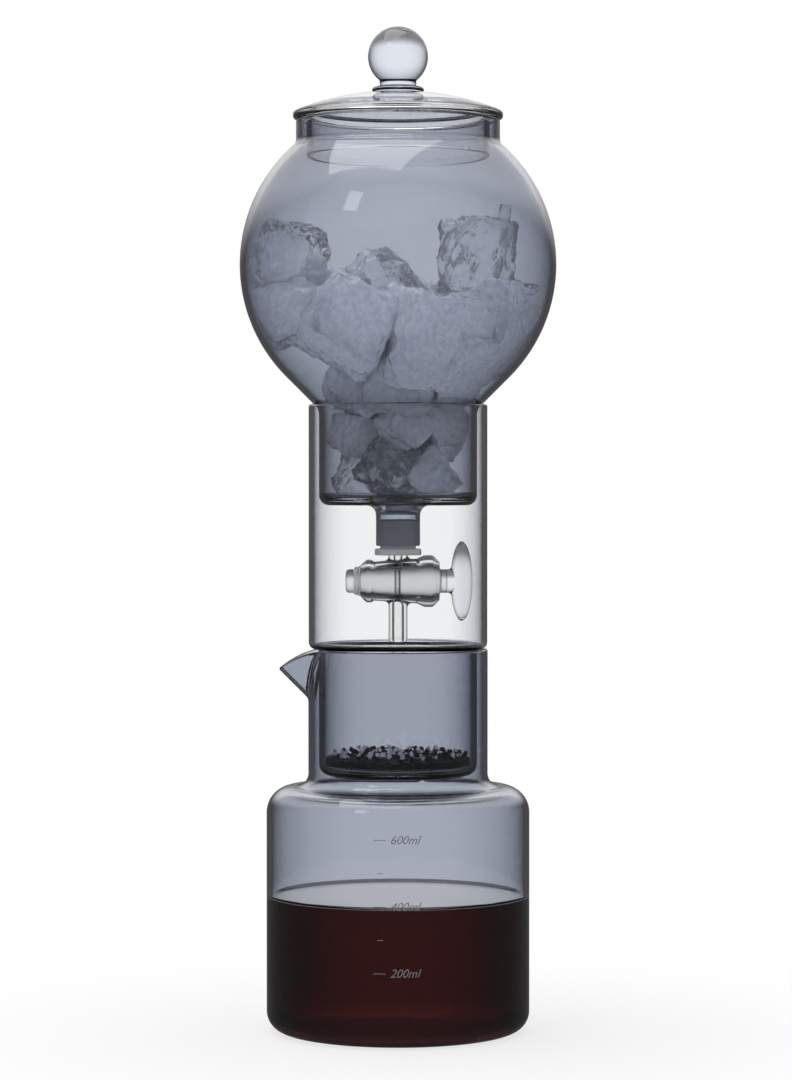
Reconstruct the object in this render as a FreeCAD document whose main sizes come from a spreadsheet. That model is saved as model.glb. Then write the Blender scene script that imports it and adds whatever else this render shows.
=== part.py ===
import FreeCAD, Part
import math
import os
import re
import Sketcher

# Cold drip coffee tower: a water globe with a drip valve, a coffee column and a carafe, all of blown glass.
# Millimetres, +Z up, origin on the table under the tower's axis, spout towards -X, valve handle towards +X.

doc = FreeCAD.newDocument("DripTower")
sheet = doc.addObject("Spreadsheet::Sheet", "Sizes")

# Driving dimensions: alias, value, what it measures. Radii are of outer faces unless the note says so.
SIZES = [
    ("seat_gap", 0.3, "air left between two vessels that rest on each other"),
    ("glass_wall", 2.2, "wall of the column and the globe"),
    ("carafe_wall", 2.4, "wall of the carafe"),
    ("carafe_height", 152.3, "table to the carafe's rim"),
    ("carafe_radius", 52.4, "body of the carafe"),
    ("carafe_floor", 3.2, "thickness of the carafe's base at its foot"),
    ("carafe_neck", 35.75, "neck of the carafe"),
    ("shoulder_top", 97.7, "table to the top of the carafe's shoulder"),
    ("shoulder_round", 10.4, "shoulder's outer rounding"),
    ("base_round", 8.0, "rounding between the carafe's base and its side"),
    ("neck_round", 5.0, "hollow rounding where the neck leaves the shoulder"),
    ("foot_radius", 40.0, "inner radius of the ring that the carafe stands on"),
    ("push_up", 1.2, "rise of the base inside that ring"),
    ("spout_root", 132.5, "table to where the spout leaves the neck"),
    ("spout_angle", 33.0, "half angle of the spout in plan, degrees"),
    ("spout_tip", 3.5, "tip radius of the spout in plan, at rim height"),
    ("spout_wall", 1.7, "wall of the pulled spout"),
    ("spout_blend", 3.0, "hollow rounding where the spout leaves the neck"),
    ("lip_arc", 32.0, "radius of the spout's drooping upper edge, seen from the side"),
    ("lip_start", 26.6, "axis to where that edge starts to droop"),
    ("lip_polish", 0.8, "rounding of the carafe's rim and of the spout's edge, on both sides"),
    ("column_radius", 35.6, "tube of the column"),
    ("column_height", 97.6, "shoulder of the column to its rim"),
    ("column_corner", 2.9, "rounding of the column's shoulder"),
    ("cup_radius", 31.5, "cups below the column and below the globe"),
    ("cup_depth", 50.0, "column's shoulder to the underside of its cup"),
    ("cup_floor", 2.5, "thickness of the cup's perforated floor"),
    ("cup_corner", 4.5, "rounding at the foot of the column's cup"),
    ("step_round", 1.0, "hollow rounding where the cup leaves the column's shoulder"),
    ("hole_radius", 0.75, "drip hole in the cup's floor"),
    ("globe_radius", 63.0, "ball of the globe"),
    ("globe_neck", 40.6, "neck of the globe"),
    ("globe_rim", 57.6, "centre of the ball to the globe's rim"),
    ("globe_cup", 95.7, "centre of the ball to the underside of the globe's cup"),
    ("globe_floor", 3.3, "thickness of that cup's floor"),
    ("cone_round", 5.0, "hollow rounding between the globe's cone and its cup"),
    ("globe_corner", 4.0, "rounding at the foot of the globe's cup, and where the outlet leaves it"),
    ("outlet_radius", 8.8, "outlet tube under the globe"),
    ("outlet_bore", 7.15, "bore of the outlet tube, a radius"),
    ("outlet_end", 111.9, "centre of the ball to the end of the outlet tube"),
    ("lid_radius", 41.8, "rim of the lid"),
    ("lid_sphere", 111.6, "outer face of the lid's dome"),
    ("lid_crown", 10.8, "rim's underside to where the dome's sphere peaks"),
    ("lid_wall", 2.2, "wall of the dome"),
    ("skirt_radius", 36.5, "skirt of the lid"),
    ("skirt_wall", 2.0, "wall of the skirt"),
    ("skirt_depth", 15.1, "rim's underside to the foot of the skirt"),
    ("knob_radius", 11.95, "ball of the knob"),
    ("knob_centre", 14.5, "foot of the knob to the centre of its ball"),
    ("knob_stem", 7.3, "waist of the knob"),
    ("knob_foot", 10.3, "foot of the knob"),
    ("stopper_insert", 10.6, "length of the stopper inside the outlet"),
    ("stopper_flange", 9.3, "flange of the stopper"),
    ("valve_drop", 14.0, "end of the outlet tube to the axis of the valve"),
    ("barrel_left", 14.9, "axis of the tubes to the barrel's small end"),
    ("barrel_right", 16.5, "axis of the tubes to the barrel's large end"),
    ("inlet_radius", 3.8, "inlet tube above the barrel"),
    ("inlet_bore", 1.2, "bore of the inlet tube and of the plug, a radius"),
    ("drip_radius", 3.75, "drip tube below the barrel"),
    ("drip_bore", 1.65, "bore of the drip tube, a radius"),
    ("drip_length", 24.3, "axis of the valve to the drip tube's tip"),
    ("tube_weld", 1.8, "hollow rounding where a tube is welded to the barrel"),
    ("plug_radius", 5.5, "plug where the cross bore runs through it"),
    ("plug_taper", 0.05, "growth of the plug's radius for each millimetre of its length"),
    ("plug_clearance", 0.05, "running clearance between plug and barrel, on the radius"),
    ("plug_neck", 4.7, "neck and tail of the plug"),
    ("tail_end", 20.8, "axis of the tubes to the end of the plug's tail"),
    ("weld_plane", 19.5, "axis of the tubes to the weld between neck and handle"),
    ("handle_centre", 25.4, "axis of the tubes to the middle of the handle"),
    ("handle_length", 31.7, "length of the handle"),
    ("handle_depth", 11.0, "width of the handle, seen along the valve"),
    ("handle_thick", 8.8, "thickness of the handle, along the valve"),
    ("handle_weld", 1.5, "hollow rounding between the handle and its neck"),
    ("filter_radius", 26.4, "rim of the filter"),
    ("filter_height", 1.4, "height of the filter's rim"),
]

for row, (alias, size, note) in enumerate(SIZES, start=1):
    sheet.set(f"A{row}", alias)
    sheet.set(f"B{row}", str(size))
    sheet.setAlias(f"B{row}", alias)
    sheet.set(f"C{row}", note)
doc.recompute()

ALIASES = {alias for alias, size, note in SIZES}


def formula(text):
    """The formula with each alias written as a cell of the sheet."""
    return re.sub(r"[a-z_]+", lambda word: f"Sizes.{word[0]}" if word[0] in ALIASES else word[0], text)


def value(text):
    """What the formula gives now."""
    return float(sheet.evalExpression(formula(text)))


def on_sphere(radius, from_axis):
    """Height over a ball's centre at which its face is that far from the axis."""
    return f"sqrt(({radius})^2 - ({from_axis})^2)"


# Where the pieces rest on each other, as heights over the table

# The column's rounded shoulder rests on the round lip of the carafe.
CARAFE_LIP = "(carafe_wall / 2)"
COLUMN_SEAT = (
    f"(carafe_height - {CARAFE_LIP} - column_corner"
    f" + sqrt((column_corner + {CARAFE_LIP} + seat_gap)^2"
    f" - (carafe_neck - {CARAFE_LIP} - column_radius + column_corner)^2))"
)
# The globe's cone, at 45 degrees, rests on the round lip of the column.
COLUMN_LIP = "(glass_wall / 2)"
GLOBE_CENTRE = (
    f"({COLUMN_SEAT} + column_height - {COLUMN_LIP} - (column_radius - {COLUMN_LIP})"
    f" + sqrt(2) * (globe_radius + {COLUMN_LIP} + seat_gap))"
)
LID_SEAT = f"({GLOBE_CENTRE} + globe_rim + seat_gap)"
KNOB_SEAT = f"(lid_crown - lid_sphere + {on_sphere('lid_sphere', 'knob_foot')})"
OUTLET_END = f"({GLOBE_CENTRE} - outlet_end)"
VALVE_AXIS = f"({OUTLET_END} - valve_drop)"
CUP_INSIDE = f"({COLUMN_SEAT} - cup_depth + cup_floor)"


# Tools of the drawing board


class Arc:
    """Marks the next edge of an outline as an arc centred on the vertical axis."""

    def __init__(self, centre, radius):
        self.centre = centre
        self.radius = radius


def new_body(label, height="0"):
    """An empty body whose own zero stands at that height over the table."""
    body = doc.addObject("PartDesign::Body", label)
    body.Label = label
    body.setExpression("Placement.Base.z", formula(height))
    return body


def new_sketch(body, name, plane, offset=None):
    """A sketch on one of the body's origin planes, raised off it where offset is given."""
    sketch = body.newObject("Sketcher::SketchObject", name)
    role = [feature for feature in body.Origin.OriginFeatures if feature.Role == plane][0]
    sketch.AttachmentSupport = [(role, "")]
    sketch.MapMode = "FlatFace"
    if offset:
        sketch.setExpression("AttachmentOffset.Base.z", formula(offset))
    return sketch


def bind(sketch, kind, *where):
    """Adds a constraint whose size is the formula that comes last."""
    *where, text = where
    index = sketch.addConstraint(Sketcher.Constraint(kind, *where, value(text)))
    sketch.setExpression(f"Constraints[{index}]", formula(text))


def place(sketch, edge, point, across, up):
    """Puts an edge's point at a distance across and up from the origin. None leaves one free."""
    origin_edge, origin_point, horizontal, vertical = -1, 1, -1, -2
    if across == "0":
        sketch.addConstraint(Sketcher.Constraint("PointOnObject", edge, point, vertical))
    elif across is not None:
        bind(sketch, "DistanceX", origin_edge, origin_point, edge, point, across)
    if up == "0":
        sketch.addConstraint(Sketcher.Constraint("PointOnObject", edge, point, horizontal))
    elif up is not None:
        bind(sketch, "DistanceY", origin_edge, origin_point, edge, point, up)


def draw(sketch, outline):
    """Draws a closed outline of corners (across, up), each a pair of formulas, with arcs where marked."""
    start, end, centre = 1, 2, 3
    corners = [item for item in outline if not isinstance(item, Arc)]
    arcs = {}
    for index, item in enumerate(outline):
        if isinstance(item, Arc):
            arcs[index - len(arcs) - 1] = item
    spots = [FreeCAD.Vector(value(across), value(up), 0) for across, up in corners]
    ends = []
    for number, spot in enumerate(spots):
        beyond = spots[(number + 1) % len(spots)]
        arc = arcs.get(number)
        if arc is None:
            edge = sketch.addGeometry(Part.LineSegment(spot, beyond))
            ends.append((edge, start, end))
            continue
        middle = FreeCAD.Vector(0, value(arc.centre), 0)
        turn = [math.atan2(point.y - middle.y, point.x - middle.x) for point in (spot, beyond)]
        forward = (turn[1] - turn[0]) % (2 * math.pi) < math.pi
        circle = Part.Circle(middle, FreeCAD.Vector(0, 0, 1), value(arc.radius))
        edge = sketch.addGeometry(Part.ArcOfCircle(circle, *(turn if forward else turn[::-1])))
        ends.append((edge, start, end) if forward else (edge, end, start))
    for number, (edge, first, last) in enumerate(ends):
        next_edge, next_first, next_last = ends[(number + 1) % len(ends)]
        sketch.addConstraint(Sketcher.Constraint("Coincident", edge, last, next_edge, next_first))
    for number, (across, up) in enumerate(corners):
        edge, first, last = ends[number]
        meets_arc = number in arcs or (number - 1) % len(corners) in arcs
        place(sketch, edge, first, across, None if meets_arc else up)
    for number, arc in arcs.items():
        edge = ends[number][0]
        place(sketch, edge, centre, "0", arc.centre)
        bind(sketch, "Radius", edge, arc.radius)


def turn(body, name, outline, axis="V_Axis", kind="PartDesign::Revolution"):
    """Revolves an outline on the body's XZ plane, or cuts it away as a groove."""
    sketch = new_sketch(body, name + "Outline", "XZ_Plane")
    draw(sketch, outline)
    doc.recompute()
    feature = body.newObject(kind, name)
    feature.Profile = sketch
    feature.ReferenceAxis = (sketch, [axis])
    feature.Angle = 360
    doc.recompute()
    return feature


def ring_edges(shape, corners, along):
    """Names of the shape's round edges at corners (radius, place along the axis)."""
    names = []
    for radius, place_along in corners:
        wanted = (value(radius), value(place_along))
        found = [
            f"Edge{number}"
            for number, edge in enumerate(shape.Edges, start=1)
            if not edge.Degenerated
            and isinstance(edge.Curve, Part.Circle)
            and abs(edge.Curve.Radius - wanted[0]) < 0.01
            and abs(getattr(edge.Curve.Center, along) - wanted[1]) < 0.01
        ]
        if not found:
            raise ValueError(f"no round edge at {radius}, {place_along}")
        names += found
    return names


def soften(body, name, radius, corners, along="z"):
    """Rounds the round edges at those corners."""
    base = body.Tip
    edges = ring_edges(base.Shape, corners, along)
    fillet = body.newObject("PartDesign::Fillet", name)
    fillet.Base = (base, edges)
    fillet.setExpression("Radius", formula(radius))
    doc.recompute()
    return fillet


def fire_polish(body, name, wall, outer, inner, up):
    """Rounds a rim of that wall, between its outer and inner radius at one height."""
    return soften(body, name, f"0.46 * ({wall})", [(outer, up), (inner, up)])


def bore(body, name, sketch, radius, depth, across="0", kind="PartDesign::Pocket", reverse=False):
    """A round hole, or a round rod where kind is a pad, on a sketch that lies level."""
    circle = Part.Circle(FreeCAD.Vector(value(across), 0, 0), FreeCAD.Vector(0, 0, 1), value(radius))
    edge = sketch.addGeometry(circle)
    place(sketch, edge, 3, across, "0")
    bind(sketch, "Radius", edge, radius)
    doc.recompute()
    feature = body.newObject(kind, name)
    feature.Profile = sketch
    feature.Reversed = reverse
    feature.setExpression("Length", formula(depth))
    doc.recompute()
    return feature


def punch(body, name, height, depth, radius, rings, step):
    """Cuts a middle hole and rings of 6, 12, 18 and so on, each a step further out, down from that height."""
    middle = new_sketch(body, name + "MiddlePlan", "XY_Plane", height)
    bore(body, name + "Middle", middle, radius, depth)
    for ring in range(1, rings + 1):
        sketch = new_sketch(body, f"{name}Ring{ring}Plan", "XY_Plane", height)
        hole = bore(body, f"{name}Ring{ring}", sketch, radius, depth, across=f"{ring} * ({step})")
        pattern = body.newObject("PartDesign::PolarPattern", f"{name}Ring{ring}Pattern")
        pattern.Originals = [hole]
        pattern.Axis = (sketch, ["N_Axis"])
        pattern.Angle = 360
        pattern.Occurrences = 6 * ring
        body.Tip = pattern
        doc.recompute()


def blend(body, name, radius, wanted):
    """Rounds every edge that the test picks out."""
    base = body.Tip
    edges = [
        f"Edge{number}"
        for number, edge in enumerate(base.Shape.Edges, start=1)
        if not edge.Degenerated and wanted(edge)
    ]
    fillet = body.newObject("PartDesign::Fillet", name)
    fillet.Base = (base, edges)
    fillet.setExpression("Radius", formula(radius))
    doc.recompute()


def is_weld(edge):
    """True for the curve in space in which two round solids cross."""
    return not isinstance(edge.Curve, (Part.Circle, Part.Line))


# Carafe: a turned jar, whose spout is pulled from the neck before the inside is hollowed out

PUSH_SPHERE = "((foot_radius^2 + push_up^2) / (2 * push_up))"
PUSH_CENTRE = f"(push_up - {PUSH_SPHERE})"
NECK_INSIDE = "(carafe_neck - carafe_wall)"
CLEAR = "1"

carafe = new_body("carafe")
turn(carafe, "Jar", [
    ("0", "push_up"),
    Arc(PUSH_CENTRE, PUSH_SPHERE),
    ("foot_radius", "0"),
    ("carafe_radius", "0"),
    ("carafe_radius", "shoulder_top"),
    ("carafe_neck", "shoulder_top"),
    ("carafe_neck", "carafe_height"),
    ("0", "carafe_height"),
])


def spout_section(name, height, reach, tip):
    """A rounded V in plan, from inside the neck to the spout's reach at that height."""
    sketch = new_sketch(carafe, name, "XY_Plane", height)
    half = math.radians(value("spout_angle"))
    root_across = "(carafe_neck * 0.6)"
    tip_radius = value(tip)
    middle = FreeCAD.Vector(tip_radius - value(reach), 0, 0)
    far = middle + FreeCAD.Vector(-math.sin(half), math.cos(half), 0) * tip_radius
    near_x = -value(root_across)
    near = FreeCAD.Vector(near_x, far.y + (near_x - far.x) * math.tan(half), 0)
    far_twin = FreeCAD.Vector(far.x, -far.y, 0)
    near_twin = FreeCAD.Vector(near.x, -near.y, 0)
    circle = Part.Circle(middle, FreeCAD.Vector(0, 0, 1), tip_radius)
    opening = math.pi / 2 + half
    nose = sketch.addGeometry(Part.ArcOfCircle(circle, opening, 2 * math.pi - opening))
    side = sketch.addGeometry(Part.LineSegment(far_twin, near_twin))
    back = sketch.addGeometry(Part.LineSegment(near_twin, near))
    other = sketch.addGeometry(Part.LineSegment(near, far))
    sketch.addConstraint(Sketcher.Constraint("Tangent", nose, 2, side, 1))
    sketch.addConstraint(Sketcher.Constraint("Coincident", side, 2, back, 1))
    sketch.addConstraint(Sketcher.Constraint("Coincident", back, 2, other, 1))
    sketch.addConstraint(Sketcher.Constraint("Tangent", other, 2, nose, 1))
    sketch.addConstraint(Sketcher.Constraint("Symmetric", back, 1, back, 2, -1))
    place(sketch, nose, 3, f"{tip} - ({reach})", "0")
    place(sketch, back, 1, f"-{root_across}", None)
    bind(sketch, "Radius", nose, tip)
    index = sketch.addConstraint(Sketcher.Constraint("Angle", -1, 1, other, 2, half))
    sketch.setExpression(f"Constraints[{index}]", formula("spout_angle"))
    return sketch


def spout_loft(name, kind, low, high, reach_less, tip):
    """Lofts the spout's outside, or its channel, between two heights. Its underside climbs at 45 degrees."""
    reach = "carafe_neck + ({}) - spout_root - ({})"
    lower = spout_section(name + "Low", low, reach.format(low, reach_less), tip)
    upper = spout_section(name + "High", high, reach.format(high, reach_less), tip)
    doc.recompute()
    loft = carafe.newObject(kind, name)
    loft.Profile = lower
    loft.Sections = [upper]
    loft.Ruled = True
    doc.recompute()


BURIED = "(spout_root - 4)"
spout_loft("Spout", "PartDesign::AdditiveLoft", BURIED, "carafe_height", "0", "spout_tip")
FLOOR_EDGE = f"{PUSH_CENTRE} + " + on_sphere(f"{PUSH_SPHERE} + carafe_floor", "foot_radius")
turn(carafe, "Inside", [
    ("0", "push_up + carafe_floor"),
    Arc(PUSH_CENTRE, f"({PUSH_SPHERE} + carafe_floor)"),
    ("foot_radius", FLOOR_EDGE),
    ("carafe_radius - carafe_wall", FLOOR_EDGE),
    ("carafe_radius - carafe_wall", "shoulder_top - carafe_wall"),
    (NECK_INSIDE, "shoulder_top - carafe_wall"),
    (NECK_INSIDE, f"carafe_height + {CLEAR}"),
    ("0", f"carafe_height + {CLEAR}"),
], kind="PartDesign::Groove")
soften(carafe, "InsideBaseRound", "base_round - carafe_wall", [("carafe_radius - carafe_wall", FLOOR_EDGE)])
soften(carafe, "InsideShoulderRound", "shoulder_round - carafe_wall",
       [("carafe_radius - carafe_wall", "shoulder_top - carafe_wall")])
soften(carafe, "InsideNeckRound", "neck_round + carafe_wall", [(NECK_INSIDE, "shoulder_top - carafe_wall")])
soften(carafe, "BaseRound", "base_round", [("carafe_radius", "0")])
soften(carafe, "ShoulderRound", "shoulder_round", [("carafe_radius", "shoulder_top")])
soften(carafe, "NeckRound", "neck_round", [("carafe_neck", "shoulder_top")])
spout_loft("Channel", "PartDesign::SubtractiveLoft", BURIED, f"(carafe_height + {CLEAR})",
           "spout_wall * sqrt(2)", "(spout_tip - spout_wall)")

# The edge of the spout droops along an arc that is tangent to the rim.
trim = new_sketch(carafe, "LipTrim", "XZ_Plane")
trim.setExpression("AttachmentOffset.Base.x", formula("-lip_start"))
LIP_CENTRE = "(carafe_height - lip_arc)"
LIP_SPAN = "(0.95 * lip_arc)"
draw(trim, [
    ("0", "carafe_height"),
    Arc(LIP_CENTRE, "lip_arc"),
    (f"-{LIP_SPAN}", f"{LIP_CENTRE} + " + on_sphere("lip_arc", LIP_SPAN)),
    (f"-{LIP_SPAN}", f"carafe_height + {CLEAR}"),
    ("0", f"carafe_height + {CLEAR}"),
])
doc.recompute()
lip = carafe.newObject("PartDesign::Pocket", "Lip")
lip.Profile = trim
lip.SideType = "Symmetric"
lip.setExpression("Length", formula("2 * carafe_radius"))
doc.recompute()


def is_spout_root(edge):
    """True for the upright curves along which the spout leaves the neck, outside and inside."""
    box = edge.BoundBox
    return isinstance(edge.Curve, Part.BSplineCurve) and box.ZMin < value("spout_root + 5") and box.YLength > 2


def is_rim(edge):
    """True for the curved edges round the rim and along the spout."""
    tip_height = value(f"{LIP_CENTRE} + 0.7 * lip_arc")
    return not isinstance(edge.Curve, Part.Line) and edge.BoundBox.ZMin > tip_height


blend(carafe, "SpoutRoot", "spout_blend", is_spout_root)
blend(carafe, "RimPolish", "lip_polish", is_rim)

# Coffee column: a tube with a cup below its shoulder, and drip holes through the cup's floor

COLUMN_INSIDE = "(column_radius - glass_wall)"
CUP_BORE = "(cup_radius - glass_wall)"

column = new_body("coffee_column", COLUMN_SEAT)
turn(column, "Wall", [
    ("0", "-cup_depth"),
    ("cup_radius", "-cup_depth"),
    ("cup_radius", "0"),
    ("column_radius", "0"),
    ("column_radius", "column_height"),
    (COLUMN_INSIDE, "column_height"),
    (COLUMN_INSIDE, "glass_wall"),
    (CUP_BORE, "glass_wall"),
    (CUP_BORE, "cup_floor - cup_depth"),
    ("0", "cup_floor - cup_depth"),
])
soften(column, "Shoulder", "column_corner", [("column_radius", "0")])
soften(column, "ShoulderInside", "column_corner - glass_wall", [(COLUMN_INSIDE, "glass_wall")])
soften(column, "Step", "step_round", [("cup_radius", "0")])
soften(column, "StepInside", "step_round + glass_wall", [(CUP_BORE, "glass_wall")])
soften(column, "CupRound", "cup_corner", [("cup_radius", "-cup_depth")])
soften(column, "CupRoundInside", "cup_corner - glass_wall", [(CUP_BORE, "cup_floor - cup_depth")])
fire_polish(column, "Rim", "glass_wall", "column_radius", COLUMN_INSIDE, "column_height")
punch(column, "Drip", "cup_floor - cup_depth", "cup_floor", "hole_radius", rings=2, step="8")

# Filter: a steel rim with a slot that holds the edge of a perforated sheet. It lies loose on the cup's floor.

FILTER_SEAT = f"({CUP_INSIDE} + seat_gap)"
FILTER_BAND = "1.5"
SHEET_EDGE = "(filter_radius - 0.5)"
SHEET_LOW = "(filter_height / 2 - 0.2)"
SHEET_HIGH = "(filter_height / 2 + 0.2)"

filter_rim = new_body("filter_rim", FILTER_SEAT)
turn(filter_rim, "Band", [
    ("filter_radius", "0"),
    ("filter_radius", "filter_height"),
    (f"filter_radius - {FILTER_BAND}", "filter_height"),
    (f"filter_radius - {FILTER_BAND}", SHEET_HIGH),
    (SHEET_EDGE, SHEET_HIGH),
    (SHEET_EDGE, SHEET_LOW),
    (f"filter_radius - {FILTER_BAND}", SHEET_LOW),
    (f"filter_radius - {FILTER_BAND}", "0"),
])
filter_mesh = new_body("filter_mesh", FILTER_SEAT)
turn(filter_mesh, "Sheet", [
    ("0", SHEET_LOW),
    (SHEET_EDGE, SHEET_LOW),
    (SHEET_EDGE, SHEET_HIGH),
    ("0", SHEET_HIGH),
])
punch(filter_mesh, "Mesh", SHEET_HIGH, "0.4", "1.1", rings=3, step="7")

# Water globe, measured from the centre of its ball: neck above, cone, cup and outlet tube below

BALL_INSIDE = "(globe_radius - glass_wall)"
NECK_BORE = "(globe_neck - glass_wall)"
CONE_TOP = "globe_radius * cos(45)"
CONE_TOP_INSIDE = f"{BALL_INSIDE} * cos(45)"
FLOOR = "(globe_floor - globe_cup)"

globe = new_body("water_globe", GLOBE_CENTRE)
turn(globe, "Wall", [
    ("globe_neck", "globe_rim"),
    ("globe_neck", on_sphere("globe_radius", "globe_neck")),
    Arc("0", "globe_radius"),
    (CONE_TOP, f"-{CONE_TOP}"),
    ("cup_radius", "cup_radius - globe_radius * sqrt(2)"),
    ("cup_radius", "-globe_cup"),
    ("outlet_radius", "-globe_cup"),
    ("outlet_radius", "-outlet_end"),
    ("outlet_bore", "-outlet_end"),
    ("outlet_bore", FLOOR),
    (CUP_BORE, FLOOR),
    (CUP_BORE, f"{CUP_BORE} - {BALL_INSIDE} * sqrt(2)"),
    (CONE_TOP_INSIDE, f"-{CONE_TOP_INSIDE}"),
    Arc("0", BALL_INSIDE),
    (NECK_BORE, on_sphere(BALL_INSIDE, NECK_BORE)),
    (NECK_BORE, "globe_rim"),
])
soften(globe, "NeckRoot", "3.0", [("globe_neck", on_sphere("globe_radius", "globe_neck"))])
soften(globe, "NeckRootInside", "3.0", [(NECK_BORE, on_sphere(BALL_INSIDE, NECK_BORE))])
soften(globe, "ConeRoot", "cone_round", [("cup_radius", "cup_radius - globe_radius * sqrt(2)")])
soften(globe, "ConeRootInside", "cone_round", [(CUP_BORE, f"{CUP_BORE} - {BALL_INSIDE} * sqrt(2)")])
soften(globe, "CupCorner", "globe_corner", [("cup_radius", "-globe_cup")])
soften(globe, "CupCornerInside", "globe_corner - glass_wall", [(CUP_BORE, FLOOR)])
soften(globe, "OutletRoot", "globe_corner", [("outlet_radius", "-globe_cup")])
soften(globe, "OutletMouth", "globe_corner", [("outlet_bore", FLOOR)])
fire_polish(globe, "Rim", "glass_wall", "globe_neck", NECK_BORE, "globe_rim")
soften(globe, "OutletLip", "0.6", [("outlet_radius", "-outlet_end")])

# Lid, measured from the underside of its rim: dome, rolled rim and skirt are one glass

DOME = "(lid_crown - lid_sphere)"
UNDER_DOME = "(lid_sphere - lid_wall)"
SKIRT_BORE = "(skirt_radius - skirt_wall)"

lid = new_body("lid_dome", LID_SEAT)
turn(lid, "Wall", [
    ("0", KNOB_SEAT),
    ("0", f"{DOME} + {UNDER_DOME}"),
    Arc(DOME, UNDER_DOME),
    (SKIRT_BORE, f"{DOME} + " + on_sphere(UNDER_DOME, SKIRT_BORE)),
    (SKIRT_BORE, "-skirt_depth"),
    ("skirt_radius", "-skirt_depth"),
    ("skirt_radius", "0"),
    ("lid_radius", "0"),
    ("lid_radius", f"{DOME} + " + on_sphere("lid_sphere", "lid_radius")),
    Arc(DOME, "lid_sphere"),
    ("knob_foot", KNOB_SEAT),
])
soften(lid, "RimUnder", "1.2", [("lid_radius", "0")])
soften(lid, "RimOver", "1.2", [("lid_radius", f"{DOME} + " + on_sphere("lid_sphere", "lid_radius"))])
soften(lid, "SkirtRoot", "0.8", [("skirt_radius", "0")])
soften(lid, "SkirtRootInside", "1.5", [(SKIRT_BORE, f"{DOME} + " + on_sphere(UNDER_DOME, SKIRT_BORE))])
fire_polish(lid, "SkirtEdge", "skirt_wall", "skirt_radius", SKIRT_BORE, "-skirt_depth")

# Knob: a solid ball on a waisted foot, welded to the flat of the dome

FOOT_HEIGHT = "2.3"
BALL_START = "knob_centre - " + on_sphere("knob_radius", "knob_stem")

knob = new_body("lid_knob", f"({LID_SEAT} + {KNOB_SEAT})")
turn(knob, "Glass", [
    ("0", "0"),
    ("knob_foot", "0"),
    ("knob_foot", FOOT_HEIGHT),
    ("knob_stem", FOOT_HEIGHT),
    ("knob_stem", BALL_START),
    Arc("knob_centre", "knob_radius"),
    ("0", "knob_centre + knob_radius"),
])
soften(knob, "FootEdge", "1.0", [("knob_foot", FOOT_HEIGHT)])
soften(knob, "FootRoot", "0.6", [("knob_stem", FOOT_HEIGHT)])
soften(knob, "BallRoot", "1.0", [("knob_stem", BALL_START)])

# Stopper, measured from the end of the outlet tube: a plug in the tube and a flange a little below it

NOTCH = "1.1"
FLANGE_FOOT = "3.7"

stopper = new_body("silicone_stopper", OUTLET_END)
turn(stopper, "Rubber", [
    ("inlet_radius", "-" + FLANGE_FOOT),
    ("stopper_flange", "-" + FLANGE_FOOT),
    ("stopper_flange", "-" + NOTCH),
    ("outlet_bore", "-" + NOTCH),
    ("outlet_bore", "stopper_insert"),
    ("inlet_radius", "stopper_insert"),
])
soften(stopper, "FlangeEdge", "0.5", [("stopper_flange", "-" + FLANGE_FOOT), ("stopper_flange", "-" + NOTCH)])
soften(stopper, "LeadIn", "0.8", [("outlet_bore", "stopper_insert")])

# Stopcock, measured from the crossing of its axis with the tubes. Outlines run along X, radii go up.


def plug_at(along, extra="0"):
    """The plug's radius that far along the valve, with any extra for the barrel's bore."""
    return f"plug_radius + plug_taper * ({along}) + ({extra})"


BARREL_BODY = "(plug_radius + 2.75)"

barrel = new_body("valve_barrel", VALVE_AXIS)
turn(barrel, "Beads", [
    ("-barrel_left", "0"),
    ("-barrel_left", f"{BARREL_BODY} - 1.9"),
    ("-barrel_left + 2.4", f"{BARREL_BODY} + 0.3"),
    ("-barrel_left + 4.2", f"{BARREL_BODY} + 0.3"),
    ("-barrel_left + 5.5", f"{BARREL_BODY} - 0.45"),
    ("barrel_right - 9.0", f"{BARREL_BODY} + 0.7"),
    ("barrel_right - 6.0", f"{BARREL_BODY} + 2.1"),
    ("barrel_right - 2.6", f"{BARREL_BODY} + 2.1"),
    ("barrel_right", f"{BARREL_BODY} - 0.6"),
    ("barrel_right", "0"),
], axis="H_Axis")
soften(barrel, "SmallBead", "1.2", [
    (f"{BARREL_BODY} + 0.3", "-barrel_left + 2.4"),
    (f"{BARREL_BODY} + 0.3", "-barrel_left + 4.2"),
], along="x")
soften(barrel, "LargeBead", "2.2", [
    (f"{BARREL_BODY} + 2.1", "barrel_right - 6.0"),
    (f"{BARREL_BODY} + 2.1", "barrel_right - 2.6"),
], along="x")
soften(barrel, "BeadRoots", "1.2", [
    (f"{BARREL_BODY} - 0.45", "-barrel_left + 5.5"),
    (f"{BARREL_BODY} + 0.7", "barrel_right - 9.0"),
], along="x")
soften(barrel, "Ends", "0.8", [
    (f"{BARREL_BODY} - 1.9", "-barrel_left"),
    (f"{BARREL_BODY} - 0.6", "barrel_right"),
], along="x")
bore(barrel, "InletTube", new_sketch(barrel, "InletPlan", "XY_Plane"), "inlet_radius",
     "valve_drop + stopper_insert", kind="PartDesign::Pad")
bore(barrel, "DripTube", new_sketch(barrel, "DripPlan", "XY_Plane"), "drip_radius",
     "drip_length", kind="PartDesign::Pad", reverse=True)
blend(barrel, "Welds", "tube_weld", is_weld)
soften(barrel, "DripTip", "1.0", [("drip_radius", "-drip_length")])
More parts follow.
